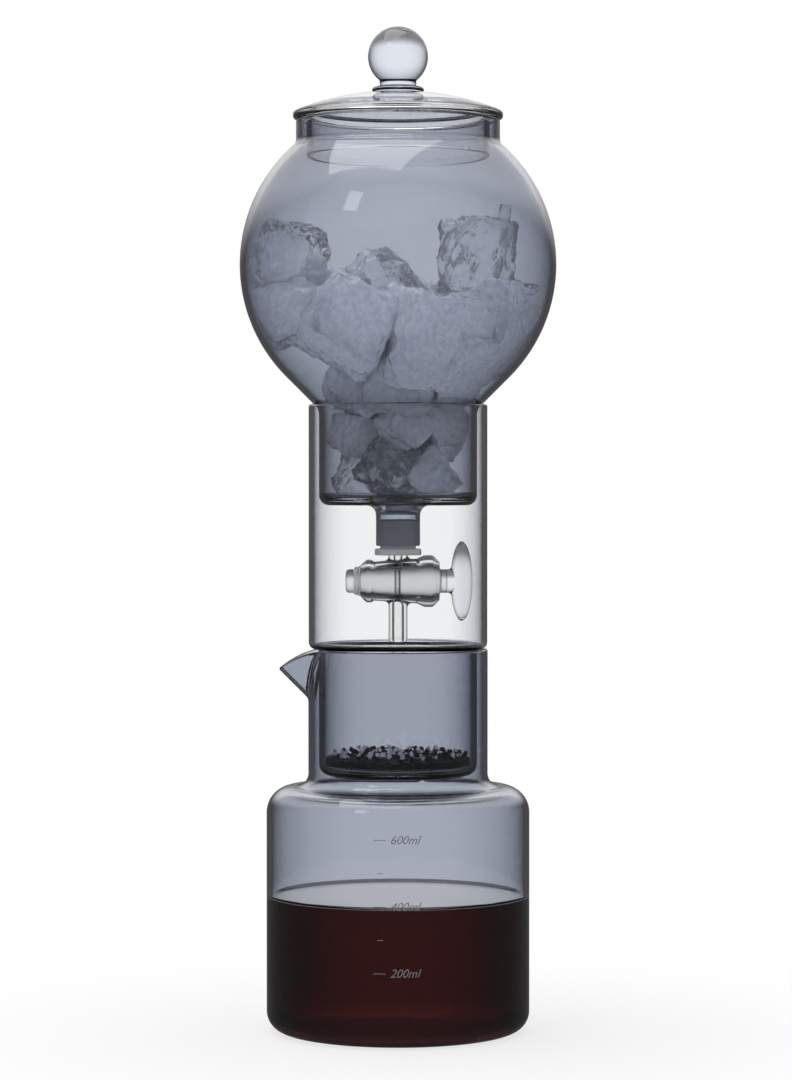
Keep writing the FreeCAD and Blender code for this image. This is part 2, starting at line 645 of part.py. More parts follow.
turn(barrel, "TaperBore", [
    (f"-barrel_left - {CLEAR}", "0"),
    (f"-barrel_left - {CLEAR}", plug_at(f"-barrel_left - {CLEAR}", "plug_clearance")),
    (f"barrel_right + {CLEAR}", plug_at(f"barrel_right + {CLEAR}", "plug_clearance")),
    (f"barrel_right + {CLEAR}", "0"),
], axis="H_Axis", kind="PartDesign::Groove")
bore(barrel, "InletBore", new_sketch(barrel, "InletBorePlan", "XY_Plane"), "inlet_bore",
     f"valve_drop + stopper_insert + {CLEAR}", reverse=True)
bore(barrel, "DripBore", new_sketch(barrel, "DripBorePlan", "XY_Plane"), "drip_bore", f"drip_length + {CLEAR}")

WASHER_FACE = "(barrel_left + 0.1)"
RING_WIDTH = "1.8"
GROOVE_START = f"({WASHER_FACE} + 0.8)"
GROOVE_END = f"({GROOVE_START} + {RING_WIDTH})"
GROOVE_RADIUS = "(plug_neck - 0.8)"

plug = new_body("valve_plug", VALVE_AXIS)
turn(plug, "Key", [
    ("-tail_end", "0"),
    ("-tail_end", "plug_neck"),
    (f"-{GROOVE_END}", "plug_neck"),
    (f"-{GROOVE_END}", GROOVE_RADIUS),
    (f"-{GROOVE_START}", GROOVE_RADIUS),
    (f"-{GROOVE_START}", "plug_neck"),
    ("-barrel_left", "plug_neck"),
    ("-barrel_left", plug_at("-barrel_left")),
    ("barrel_right", plug_at("barrel_right")),
    ("barrel_right", "plug_neck"),
    ("weld_plane", "plug_neck"),
    ("weld_plane", "0"),
], axis="H_Axis")
soften(plug, "TailEnd", "1.4", [("plug_neck", "-tail_end")], along="x")
soften(plug, "NeckRoot", "0.8", [("plug_neck", "barrel_right")], along="x")
key_bore = bore(plug, "CrossBore", new_sketch(plug, "CrossBorePlan", "XY_Plane"), "inlet_bore", "plug_radius * 3")
key_bore.SideType = "Symmetric"
doc.recompute()

washer = new_body("thrust_washer", VALVE_AXIS)
turn(washer, "Disc", [
    (f"-{GROOVE_START}", "plug_neck + 0.1"),
    (f"-{GROOVE_START}", "plug_neck + 1.3"),
    (f"-{WASHER_FACE}", "plug_neck + 1.3"),
    (f"-{WASHER_FACE}", "plug_neck + 0.1"),
], axis="H_Axis")

ring = doc.addObject("Part::Torus", "retaining_ring")
ring.Label = "retaining_ring"
ring.setExpression("Radius1", formula(f"{GROOVE_RADIUS} + {RING_WIDTH} / 2"))
ring.setExpression("Radius2", formula(f"{RING_WIDTH} / 2"))
ring.Placement = FreeCAD.Placement(FreeCAD.Vector(0, 0, 0), FreeCAD.Rotation(FreeCAD.Vector(0, 1, 0), 90))
ring.setExpression("Placement.Base.x", formula(f"-({GROOVE_START} + {RING_WIDTH} / 2)"))
ring.setExpression("Placement.Base.z", formula(VALVE_AXIS))

handle = new_body("valve_handle", VALVE_AXIS)
paddle = handle.newObject("PartDesign::AdditiveEllipsoid", "Paddle")
paddle.AttachmentSupport = [([f for f in handle.Origin.OriginFeatures if f.Role == "XY_Plane"][0], "")]
paddle.MapMode = "FlatFace"
paddle.setExpression("AttachmentOffset.Base.x", formula("handle_centre"))
paddle.setExpression("Radius1", formula("handle_length / 2"))
paddle.setExpression("Radius2", formula("handle_thick / 2"))
paddle.setExpression("Radius3", formula("handle_depth / 2"))
doc.recompute()
turn(handle, "Hub", [
    ("weld_plane", "0"),
    ("weld_plane", "plug_neck"),
    ("handle_centre - 2", "plug_neck"),
    ("handle_centre - 2", "0"),
], axis="H_Axis")
blend(handle, "HubWeld", "handle_weld", lambda edge: is_weld(edge) and edge.BoundBox.XMax < value("handle_centre"))

# Each piece to its own file

PIECES = [
    carafe, column, filter_rim, filter_mesh, globe, lid, knob, stopper, barrel, plug, handle, washer, ring,
]

doc.recompute()
for item in doc.Objects:
    if "Invalid" in item.State or "Error" in item.State:
        raise RuntimeError(f"{item.Label} is not built: {item.State}")
os.makedirs("parts", exist_ok=True)
for piece in PIECES:
    if piece.Shape.isNull() or not piece.Shape.isValid():
        raise RuntimeError(f"{piece.Label} has no valid shape")
    if len(piece.Shape.Solids) != 1:
        raise RuntimeError(f"{piece.Label} is {len(piece.Shape.Solids)} solids")
    piece.Shape.exportStep(f"parts/{piece.Label}.step")
    print(f"{piece.Label}: {piece.Shape.Volume / 1000:.2f} cubic centimetres")
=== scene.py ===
import math
import random

import bpy
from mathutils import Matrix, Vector


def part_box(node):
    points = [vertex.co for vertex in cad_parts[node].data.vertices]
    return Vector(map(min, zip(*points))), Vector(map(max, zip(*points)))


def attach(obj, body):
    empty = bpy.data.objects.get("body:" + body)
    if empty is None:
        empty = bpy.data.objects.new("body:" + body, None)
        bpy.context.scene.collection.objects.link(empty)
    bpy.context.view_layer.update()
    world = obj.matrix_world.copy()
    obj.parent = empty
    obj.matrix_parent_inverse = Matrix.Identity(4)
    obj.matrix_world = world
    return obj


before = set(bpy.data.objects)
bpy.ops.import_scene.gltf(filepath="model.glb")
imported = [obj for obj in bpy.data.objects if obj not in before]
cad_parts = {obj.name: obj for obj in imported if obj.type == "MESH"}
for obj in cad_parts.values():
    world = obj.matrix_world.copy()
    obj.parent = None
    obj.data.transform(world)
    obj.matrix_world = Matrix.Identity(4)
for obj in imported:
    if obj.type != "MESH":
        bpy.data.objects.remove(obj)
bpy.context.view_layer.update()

MM = 0.001

# Sizes, in millimetres. The vessels' outsides come from the frame, and their walls and insides are
# those of the solids. The fill levels are the photograph's.

carafe_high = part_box("carafe")[1]
filter_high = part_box("filter_rim")[1]
globe_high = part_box("water_globe")[1]

CARAFE_RADIUS = carafe_high.y / MM
CARAFE_WALL = 2.4
CARAFE_FLOOR = 3.2
CARAFE_INNER_ROUND = 5.6
CUP_BORE = 29.3
FILTER_TOP = filter_high.z / MM
GLOBE_RADIUS = globe_high.y / MM
GLOBE_WALL = 2.2
GLOBE_CENTRE = 305.27
GLOBE_CUP_FLOOR = 212.9

COFFEE_LEVEL = 55.0
GROUNDS_LEVEL = 109.0
OVERLAP = 0.1


# Modelling helpers

FACING_UP = 0.99


def deselect():
    bpy.ops.object.select_all(action="DESELECT")


def activate(piece):
    """Makes the piece the active one, and the only one selected."""
    deselect()
    piece.select_set(True)
    bpy.context.view_layer.objects.active = piece


def enter_edit():
    bpy.ops.object.mode_set(mode="EDIT")


def leave_edit():
    bpy.ops.object.mode_set(mode="OBJECT")


def edit_with(piece, kind, action):
    """Opens the mesh for editing, with all or none of its parts selected."""
    activate(piece)
    enter_edit()
    bpy.ops.mesh.select_mode(type=kind)
    bpy.ops.mesh.select_all(action=action)


def edit_all(piece):
    edit_with(piece, "VERT", "SELECT")


def edit_lower_edges(piece):
    """Opens the mesh for editing, with only the edges below its middle selected."""
    edit_with(piece, "EDGE", "DESELECT")
    leave_edit()
    for line in piece.data.edges:
        line.select = all(piece.data.vertices[end].co.z < 0 for end in line.vertices)
    enter_edit()


def edit_top_faces(piece):
    """Opens the mesh for editing, with only the faces that look straight up selected."""
    edit_with(piece, "FACE", "DESELECT")
    leave_edit()
    for face in piece.data.polygons:
        face.select = face.normal.z > FACING_UP
    enter_edit()


def named(name):
    """Names the new object and its mesh, and gives the object back."""
    piece = bpy.context.object
    piece.name = name
    piece.data.name = name
    return piece


def settle():
    """Puts the selected piece's place, turn and size into its mesh."""
    bpy.ops.object.transform_apply(location=True, rotation=True, scale=True)


def resized(piece, across):
    """Gives a piece its size in x, y and z, in millimetres."""
    piece.scale = [size * MM for size in across]
    settle()


def apply_modifiers(piece):
    activate(piece)
    for modifier in list(piece.modifiers):
        bpy.ops.object.modifier_apply(modifier=modifier.name)


def finish_piece(piece, body, material, smooth=None):
    """Settles the piece, gives it its material, and lets it ride its body."""
    activate(piece)
    settle()
    if smooth is not None:
        bpy.ops.object.shade_smooth_by_angle(angle=math.radians(smooth))
    piece.data.materials.clear()
    piece.data.materials.append(material)
    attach(piece, body)


# Shader helpers. A tree is the node tree of a material, of the world or of a group.

def feed(tree, value, socket):
    """Links another node's output to the socket, or sets the socket to a plain value."""
    if isinstance(value, bpy.types.NodeSocket):
        tree.links.new(value, socket)
    else:
        socket.default_value = value


def new_node(tree, kind, inputs):
    """Adds a node and feeds its inputs."""
    node = tree.nodes.new(kind)
    for name, value in inputs.items():
        feed(tree, value, node.inputs[name])
    return node


def computed(tree, operation, *values):
    """The result of a Math node."""
    node = tree.nodes.new("ShaderNodeMath")
    node.operation = operation
    for socket, value in zip(node.inputs, values):
        feed(tree, value, socket)
    return node.outputs["Value"]


def length_of(tree, vector):
    node = tree.nodes.new("ShaderNodeVectorMath")
    node.operation = "LENGTH"
    feed(tree, vector, node.inputs[0])
    return node.outputs["Value"]


def unit_of(tree, vector):
    node = tree.nodes.new("ShaderNodeVectorMath")
    node.operation = "NORMALIZE"
    feed(tree, vector, node.inputs[0])
    return node.outputs["Vector"]


def axes_of(tree, vector):
    """A vector's three numbers, as outputs named X, Y and Z."""
    return new_node(tree, "ShaderNodeSeparateXYZ", {"Vector": vector}).outputs


def object_place(tree):
    return tree.nodes.new("ShaderNodeTexCoord").outputs["Object"]


def edge_on(tree):
    """Runs from 0 where a surface is seen square on to 1 where it is seen edge on."""
    return new_node(tree, "ShaderNodeLayerWeight", {"Blend": 0.5}).outputs["Facing"]


def light_path(tree):
    return tree.nodes.new("ShaderNodeLightPath").outputs


def mixed(tree, factor, low, high):
    """A number that runs from low to high with the factor."""
    return new_node(tree, "ShaderNodeMix", {"Factor": factor, "A": low, "B": high}).outputs["Result"]


def spread(tree, mask, low, high):
    """The mask's 0 to 1, spread from low to high."""
    return new_node(tree, "ShaderNodeMapRange",
                    {"Value": mask, "To Min": low, "To Max": high}).outputs["Result"]


def ramped(tree, value, band, ends):
    """The value's stretch over the band, eased from the first of the two ends to the second."""
    ramp = new_node(tree, "ShaderNodeMapRange",
                    {"Value": value, "From Min": band[0], "From Max": band[1],
                     "To Min": ends[0], "To Max": ends[1]})
    ramp.interpolation_type = "SMOOTHSTEP"
    return ramp.outputs["Result"]


# Materials

GLASS_IOR = 1.47
SILICONE_IOR = 1.41
COFFEE_IOR = 1.33
ICE_IOR = 1.31
ROUGHNESS_SPREAD = 0.08
DARKEST_EDGE = 0.9
WHITE = (1, 1, 1, 1)

# A Mix node's colour sockets share their names with its other sockets, so they go by number.
MIX_COLOUR_LOW, MIX_COLOUR_HIGH, MIX_COLOUR_RESULT = 6, 7, 2


def new_material(name):
    material = bpy.data.materials.new(name)
    material.use_nodes = True
    return material


def set_surface(tree, inputs):
    """Feeds inputs of the material's own shader."""
    shader = tree.nodes["Principled BSDF"]
    for name, value in inputs.items():
        feed(tree, value, shader.inputs[name])


def unevenness_group():
    """Soft unevenness of a surface: a mask that runs from 0 to 1, and a normal."""
    group = bpy.data.node_groups.new("surface_unevenness", "ShaderNodeTree")
    face = group.interface
    for name, usual in (("Grain size", 40), ("Depth", 0.1)):
        socket = face.new_socket(name, in_out="INPUT", socket_type="NodeSocketFloat")
        socket.default_value = usual
    face.new_socket("Mask", in_out="OUTPUT", socket_type="NodeSocketFloat")
    face.new_socket("Normal", in_out="OUTPUT", socket_type="NodeSocketVector")
    given = group.nodes.new("NodeGroupInput").outputs
    result = group.nodes.new("NodeGroupOutput").inputs
    noise = new_node(group, "ShaderNodeTexNoise",
                     {"Vector": object_place(group), "Scale": given["Grain size"], "Detail": 3})
    bump = new_node(group, "ShaderNodeBump",
                    {"Height": noise.outputs["Fac"], "Strength": given["Depth"], "Distance": MM})
    feed(group, noise.outputs["Fac"], result["Mask"])
    feed(group, bump.outputs["Normal"], result["Normal"])
    return group


UNEVENNESS = unevenness_group()


def uneven(tree, grain, depth):
    """Makes the surface a little uneven, and gives back the unevenness as a mask."""
    node = tree.nodes.new("ShaderNodeGroup")
    node.node_tree = UNEVENNESS
    feed(tree, grain, node.inputs["Grain size"])
    feed(tree, depth, node.inputs["Depth"])
    set_surface(tree, {"Normal": node.outputs["Normal"]})
    return node.outputs["Mask"]


def painted_edge_shade(tree, tint, painted_edge_tint, start):
    """The tint, darker where the wall is seen edge on: painted shade for the dark outlines of glass,
    and in tinted glass partly the longer path through it.
    """
    reach = new_node(tree, "ShaderNodeMapRange",
                     {"Value": edge_on(tree), "From Min": start, "From Max": DARKEST_EDGE})
    mix = tree.nodes.new("ShaderNodeMix")
    mix.data_type = "RGBA"
    feed(tree, reach.outputs["Result"], mix.inputs["Factor"])
    feed(tree, (*tint, 1), mix.inputs[MIX_COLOUR_LOW])
    feed(tree, (*painted_edge_tint, 1), mix.inputs[MIX_COLOUR_HIGH])
    return mix.outputs[MIX_COLOUR_RESULT]


def glass(name, tint, painted_edge_tint=None, start=0.05, ior=GLASS_IOR, roughness=0.0, through=1.0):
    """Glass, or another clear solid. The painted edge shade sets in from start, where 1 is edge on.
    """
    material = new_material(name)
    tree = material.node_tree
    colour = painted_edge_shade(tree, tint, painted_edge_tint, start) if painted_edge_tint else (*tint, 1)
    set_surface(tree, {"Base Color": colour, "Transmission Weight": through, "IOR": ior,
                       "Roughness": roughness})
    uneven(tree, grain=25, depth=0.02)
    return material


def matt(name, colour, roughness, grain=400, depth=0.1, metallic=0.0):
    material = new_material(name)
    tree = material.node_tree
    mask = uneven(tree, grain, depth)
    set_surface(tree, {
        "Base Color": (*colour, 1),
        "Metallic": metallic,
        "Roughness": spread(tree, mask, roughness - ROUGHNESS_SPREAD, roughness + ROUGHNESS_SPREAD)})
    return material


# The edge tints are painted shade: they darken each glass where it is seen edge on.
smoke_glass = glass("smoke_glass", (0.64, 0.665, 0.725), (0.33, 0.355, 0.425))
clear_glass = glass("clear_glass", (0.99, 0.995, 1.0), (0.5, 0.535, 0.62), start=0.2)
lid_glass = glass("lid_glass", (0.99, 0.995, 1.0))
# The knob's grey tint darkens its clear glass all over: painted shade.
knob_glass = glass("knob_glass", (0.8, 0.84, 0.9), (0.34, 0.37, 0.44))
handle_glass = glass("handle_glass", (0.95, 0.96, 0.99), (0.32, 0.34, 0.39), start=0.25,
                     roughness=0.04)
satin_glass = glass("satin_glass", (1.0, 1.0, 1.0), (0.55, 0.58, 0.65), start=0.3, roughness=0.12)
ground_glass = glass("ground_glass", (0.9, 0.91, 0.92), (0.5, 0.51, 0.53), roughness=0.3)
clear_silicone = glass("clear_silicone", (0.8, 0.82, 0.84), ior=SILICONE_IOR, roughness=0.35,
                       through=0.7)
grey_silicone = matt("grey_silicone", (0.22, 0.22, 0.24), 0.42)
steel = matt("steel", (0.62, 0.62, 0.63), 0.28, grain=900, metallic=1.0)

scale_print = matt("scale_print", (0.2, 0.2, 0.21), 0.6)
grounds_dark = matt("coffee_grounds", (0.012, 0.011, 0.011), 0.6, grain=1500, depth=0.6)
crumb_pale = glass("pale_crumbs", (0.95, 0.96, 1.0), ior=ICE_IOR, roughness=0.15, through=0.3)

# Distances in metres, and densities per metre
# The absorption rises from core to wall and is lower near the floor: painted shade at the wall,
# painted glow at the floor.
COFFEE_TINT = (0.53, 0.05, 0.02, 1)
COFFEE_CORE_TO_WALL = (0.022, 0.042)
COFFEE_DENSITY = (14, 135)
COFFEE_FLOOR_BAND = (0.003, 0.012)
COFFEE_FLOOR_SHARE = 0.6

# The depths below the fill level, in millimetres, between which the flat top's painted sheen sets
# in: an emission that glows like a reflection.
PAINTED_SHEEN_DEPTHS = (1.9, 1.6)
PAINTED_SHEEN_FACING = (0.6, 0.95)
PAINTED_SHEEN_GLOW = 0.6


def coffee_material():
    """Clear coffee, its absorption thickened outwards from its core as painted shade and thinned
    near the floor as painted glow, with a painted sheen glowing on its flat top.
    """
    material = new_material("brewed_coffee")
    tree = material.node_tree
    axes = axes_of(tree, object_place(tree))
    painted_sheen_band = [(COFFEE_LEVEL - depth) * MM for depth in PAINTED_SHEEN_DEPTHS]
    on_top = ramped(tree, axes["Z"], painted_sheen_band, (0, 1))
    # Painted sheen: the flat top glows where it is seen edge on, standing in for a reflection.
    painted_sheen = ramped(tree, edge_on(tree), PAINTED_SHEEN_FACING, (0, PAINTED_SHEEN_GLOW))
    set_surface(tree, {
        "Base Color": WHITE, "Transmission Weight": 1, "IOR": COFFEE_IOR, "Roughness": 0,
        "Emission Color": computed(tree, "MULTIPLY", on_top, painted_sheen), "Emission Strength": 1})
    uneven(tree, grain=12, depth=0.01)
    level = new_node(tree, "ShaderNodeCombineXYZ", {"X": axes["X"], "Y": axes["Y"]})
    from_axis = length_of(tree, level.outputs["Vector"])
    # Painted shade towards the wall, and painted glow near the floor.
    painted_wall_shade = ramped(tree, from_axis, COFFEE_CORE_TO_WALL, COFFEE_DENSITY)
    painted_floor_glow = ramped(tree, axes["Z"], COFFEE_FLOOR_BAND, (COFFEE_FLOOR_SHARE, 1))
    absorption = new_node(tree, "ShaderNodeVolumeAbsorption",
                          {"Color": COFFEE_TINT,
                           "Density": computed(tree, "MULTIPLY", painted_wall_shade, painted_floor_glow)})
    feed(tree, absorption.outputs["Volume"], tree.nodes["Material Output"].inputs["Volume"])
    return material


HOLLOW_END = 0.38
FROST_START = 0.6


def ice_material(name, through, hollow_colour, grain):
    """Melting ice: a wet skin over an inside that is clear, or clouded with air."""
    material = new_material(name)
    tree = material.node_tree
    mask = uneven(tree, grain, depth=1.0)
    cracks = new_node(tree, "ShaderNodeTexNoise",
                      {"Vector": object_place(tree), "Scale": 420, "Detail": 7, "Roughness": 0.7})
    ramp = new_node(tree, "ShaderNodeValToRGB", {"Fac": cracks.outputs["Fac"]})
    hollow, frost = ramp.color_ramp.elements
    hollow.position, hollow.color = HOLLOW_END, (*hollow_colour, 1)
    frost.position, frost.color = FROST_START, WHITE
    set_surface(tree, {
        "Base Color": ramp.outputs["Color"], "Roughness": spread(tree, mask, 0.0, 0.12),
        "Transmission Weight": through, "IOR": ICE_IOR, "Coat Weight": 1, "Coat Roughness": 0.05})
    return material


brewed_coffee = coffee_material()
clear_ice = ice_material("clear_ice", 0.88, (0.9, 0.93, 0.98), grain=320)
frosted_ice = ice_material("frosted_ice", 0.3, (0.78, 0.81, 0.92), grain=520)

NODE_FINISH = {
    "carafe": smoke_glass,
    "water_globe": smoke_glass,
    "coffee_column": clear_glass,
    "lid_dome": lid_glass,
    "lid_knob": knob_glass,
    "valve_barrel": satin_glass,
    "valve_plug": ground_glass,
    "valve_handle": handle_glass,
    "silicone_stopper": grey_silicone,
    "thrust_washer": clear_silicone,
    "retaining_ring": clear_silicone,
    "filter_rim": steel,
    "filter_mesh": steel,
}
for node_name, finish in NODE_FINISH.items():
    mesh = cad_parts[node_name].data
    mesh.materials.clear()
    mesh.materials.append(finish)


# Brewed coffee: it fills the carafe to its level and creeps up the wall a little.

# Each step goes so far in from the wall, and then so far down, in millimetres.
CREEP_STEPS = ((0.5, 0.75), (0.6, 0.45), (0.9, 0.2), (1.2, 0.1))


def brewed_coffee_piece():
    radius = CARAFE_RADIUS - CARAFE_WALL + OVERLAP
    bottom = CARAFE_FLOOR - OVERLAP
    height = COFFEE_LEVEL - bottom
    deselect()
    bpy.ops.mesh.primitive_cylinder_add(vertices=128, radius=radius * MM, depth=height * MM,
                                        location=(0, 0, (bottom + height / 2) * MM))
    piece = named("brewed_coffee")
    edit_lower_edges(piece)
    bpy.ops.mesh.bevel(offset=CARAFE_INNER_ROUND * MM, segments=10, profile=0.5)
    leave_edit()
    edit_top_faces(piece)
    for inwards, down in CREEP_STEPS:
        bpy.ops.mesh.inset(thickness=inwards * MM, depth=0)
        bpy.ops.transform.translate(value=(0, 0, -down * MM))
    leave_edit()
    finish_piece(piece, "carafe_body", brewed_coffee, smooth=40)


brewed_coffee_piece()


# Coffee grounds: a packed layer on the filter, with loose crumbs of coffee and ice on top.

GROUNDS_SIDE_GAP = 0.3
GROUNDS_FLOOR_GAP = 0.05
GROUNDS_RINGS = 9
GROUNDS_RING_WIDTH = 3
GROUNDS_BUMPS = (-1.2, 0.9)
SAME_HEIGHT = 0.01


def grounds_piece():
    rng = random.Random(3)
    depth = GROUNDS_LEVEL - FILTER_TOP
    middle = FILTER_TOP + GROUNDS_FLOOR_GAP + depth / 2
    deselect()
    bpy.ops.mesh.primitive_cylinder_add(vertices=96, radius=(CUP_BORE - GROUNDS_SIDE_GAP) * MM,
                                        depth=depth * MM, location=(0, 0, middle * MM))
    piece = named("coffee_grounds")
    edit_top_faces(piece)
    for _ in range(GROUNDS_RINGS):
        bpy.ops.mesh.inset(thickness=GROUNDS_RING_WIDTH * MM, depth=0)
    leave_edit()
    top = max(vertex.co.z for vertex in piece.data.vertices)
    for vertex in piece.data.vertices:
        if vertex.co.z > top - SAME_HEIGHT * MM:
            vertex.co.z += rng.uniform(*GROUNDS_BUMPS) * MM
    finish_piece(piece, "column_body", grounds_dark, smooth=30)


FIRST_CRUMB_RADIUS = 0.8
FIRST_CRUMB_RISE = 0.5
CRUMB_SIDE_GAP = 1.2
CRUMB_RISE = 0.4
CRUMB_BREAKING = 0.35


def crumbs(name, count, seed, radii, material, lift):
    """Loose crumbs, added one by one to a single mesh and then broken out of round."""
    rng = random.Random(seed)
    deselect()
    bpy.ops.mesh.primitive_ico_sphere_add(
        subdivisions=1, radius=FIRST_CRUMB_RADIUS * MM,
        location=(0, 0, (GROUNDS_LEVEL + FIRST_CRUMB_RISE) * MM))
    piece = named(name)
    settle()
    edit_all(piece)
    for _ in range(count):
        radius = rng.uniform(*radii)
        turn = rng.uniform(0, 2 * math.pi)
        reach = (CUP_BORE - CRUMB_SIDE_GAP - radius) * math.sqrt(rng.random())
        height = GROUNDS_LEVEL + rng.uniform(0, lift) + radius * CRUMB_RISE
        bpy.ops.mesh.primitive_ico_sphere_add(
            subdivisions=1, radius=radius * MM,
            location=(reach * math.cos(turn) * MM, reach * math.sin(turn) * MM, height * MM),
            rotation=[rng.uniform(0, math.pi) for _ in range(3)])
    bpy.ops.mesh.select_all(action="SELECT")
    bpy.ops.transform.vertex_random(offset=CRUMB_BREAKING * MM, uniform=0, normal=0, seed=seed)
    leave_edit()
    finish_piece(piece, "column_body", material)


grounds_piece()
crumbs("coffee_crumbs", count=150, seed=5, radii=(0.5, 1.3), material=grounds_dark, lift=2.2)
crumbs("ice_crumbs", count=90, seed=8, radii=(0.5, 1.2), material=crumb_pale, lift=3.0)


# Ice: the large blocks of the pile stand where the photograph has them, and smaller ones fill in.
# Each has its centre and its size in x, y and z, in millimetres, and its tilt in radians.

ICE_BLOCKS = (
    ((-43, -8, 307), (25, 23, 25), 0.2),
    ((31, -10, 307), (26, 22, 31), -0.1),
    ((-19, -29, 281), (32, 26, 32), 0.5),
    ((-41, -12, 286), (24, 22, 24), -0.3),
    ((-8, 2, 296), (26, 26, 24), 0.8),
    ((15, -25, 274), (42, 28, 37), 0.1),
    ((36, -13, 278), (34, 30, 34), -0.2),
    ((43, 2, 286), (18, 20, 24), 0.1),
    ((-28, 4, 294), (24, 20, 22), 0.4),
    ((2, -18, 257), (25, 22, 22), 0.3),
    ((17, -10, 258), (24, 22, 22), -0.5),
    ((-15, -10, 258), (24, 22, 22), 0.7),
    ((-30, 24, 284), (27, 24, 26), 0.3),
    ((0, 30, 284), (28, 26, 27), -0.4),
    ((28, 26, 286), (26, 26, 27), 0.6),
    ((-12, 14, 266), (26, 24, 24), 0.2),
    ((14, 14, 266), (26, 24, 24), -0.6),
    ((0, 2, 277), (26, 24, 24), 0.9),
    ((-14, 0, 222), (19, 22, 19), 0.4),
    ((13, -9, 222), (20, 18, 17), 0.9),
    ((5, 13, 223), (20, 18, 18), 0.2),
    ((-4, -15, 225), (18, 17, 20), 0.6),
    ((-15, -6, 238), (18, 20, 17), 0.1),
    ((15, 6, 238), (20, 20, 18), 0.5),
    ((2, -16, 241), (17, 16, 17), 0.8),
    ((-6, 12, 240), (19, 18, 18), 0.3),
    ((17, -8, 243), (17, 16, 16), -0.4),
    ((0, 0, 249), (18, 18, 16), 0.2),
    ((41, -11, 320), (4.5, 4.5, 17), 0.2),
    ((31, -30, 262), (26, 20, 26), 0.4),
)
CLEAR_BLOCKS = (1, 2, 5, 8, 19, 22, 29)
ICE_CLEARANCE = 0.8
ICE_LEAN = 0.3
ICE_SWING = 0.7
ICE_ROUNDING = 3

# Shares of a block's smallest size
ICE_BEVEL = 0.12
ICE_BREAKING = 0.1
ICE_HOLLOWS = 0.3
ICE_FROST = 0.09


def globe_inside(height):
    """Inner radius of the globe at a height: ball, cone at 45 degrees, then cup."""
    ball = GLOBE_RADIUS - GLOBE_WALL
    up = height - GLOBE_CENTRE
    if up > -ball * math.sqrt(0.5):
        return math.sqrt(max(ball ** 2 - up ** 2, 0))
    return max(CUP_BORE, ball * math.sqrt(2) + up)


def melt_texture(name, size):
    texture = bpy.data.textures.new(name, "CLOUDS")
    texture.noise_scale = size * MM
    texture.noise_depth = 2
    return texture


BROAD_MELT = melt_texture("broad_hollows", 9)
FINE_MELT = melt_texture("fine_frost", 1.8)


def add_melt(piece, texture, strength):
    melt = piece.modifiers.new(texture.name, "DISPLACE")
    melt.texture = texture
    melt.strength = strength * MM
    melt.mid_level = 0.5


def lay_against_glass(piece):
    """Melts the ice back to the inside of the globe where it would reach through."""
    floor_height = (GLOBE_CUP_FLOOR + ICE_CLEARANCE) * MM
    for vertex in piece.data.vertices:
        point = vertex.co
        reach = (globe_inside(point.z / MM) - ICE_CLEARANCE) * MM
        if point.xy.length > reach:
            point.xy = point.xy.normalized() * reach
        point.z = max(point.z, floor_height)


def ice_block(name, place, across, tilt, seed, material):
    rng = random.Random(seed)
    least = min(across)
    deselect()
    bpy.ops.mesh.primitive_cube_add(
        size=1, location=[along * MM for along in place],
        rotation=(rng.uniform(-ICE_LEAN, ICE_LEAN), tilt, rng.uniform(-ICE_SWING, ICE_SWING)))
    piece = named(name)
    resized(piece, across)
    edit_all(piece)
    bpy.ops.mesh.bevel(offset=ICE_BEVEL * least * MM, segments=1)
    bpy.ops.mesh.subdivide(number_cuts=1)
    bpy.ops.transform.vertex_random(offset=ICE_BREAKING * least * MM, uniform=0, normal=0,
                                    seed=seed)
    leave_edit()
    rounding = piece.modifiers.new("melted_faces", "SUBSURF")
    rounding.levels = ICE_ROUNDING
    rounding.render_levels = ICE_ROUNDING
    add_melt(piece, BROAD_MELT, ICE_HOLLOWS * least)
    add_melt(piece, FINE_MELT, ICE_FROST * least)
    apply_modifiers(piece)
    lay_against_glass(piece)
    finish_piece(piece, "globe_body", material, smooth=60)


for number, (place, across, tilt) in enumerate(ICE_BLOCKS, 1):
    finish = clear_ice if number in CLEAR_BLOCKS else frosted_ice
    ice_block(f"ice_block_{number:02d}", place, across, tilt, number, finish)


# Scale on the carafe's front: numbers, long marks and short marks, wrapped on the glass.

NUMBERED_MARKS = (("600ml", 81.0), ("400ml", 55.3), ("200ml", 29.6))
SHORT_MARKS = (68.2, 42.5)
MARK_OFFSET = 0.03
MARK_LEFT = -9.6
MARK_LONG = 4.8
MARK_THICK = 0.28
SHORT_MARK_INDENT = 1.6
SHORT_MARK_LONG = 2.2
NUMBER_LEFT = -3.2
NUMBER_HEIGHT = 4.6
NUMBER_DROP = 0.3
NUMBER_SLANT = 0.35
UPRIGHT = (math.pi / 2, 0, 0)


def wrap_on_carafe(piece):
    """Bends a flat mesh, drawn in x and z, round the carafe's front."""
    radius = CARAFE_RADIUS + MARK_OFFSET
    for vertex in piece.data.vertices:
        turn = vertex.co.x / (radius * MM)
        vertex.co = Vector((radius * MM * math.sin(turn), -radius * MM * math.cos(turn),
                            vertex.co.z))


def scale_number(text, height):
    deselect()
    bpy.ops.object.text_add(
        location=(NUMBER_LEFT * MM, 0, (height - NUMBER_DROP * NUMBER_HEIGHT) * MM),
        rotation=UPRIGHT)
    lettering = bpy.context.object.data
    lettering.body = text
    lettering.size = NUMBER_HEIGHT * MM
    lettering.shear = NUMBER_SLANT
    bpy.ops.object.convert(target="MESH")
    piece = named("scale_" + text)
    settle()
    wrap_on_carafe(piece)
    finish_piece(piece, "carafe_body", scale_print)


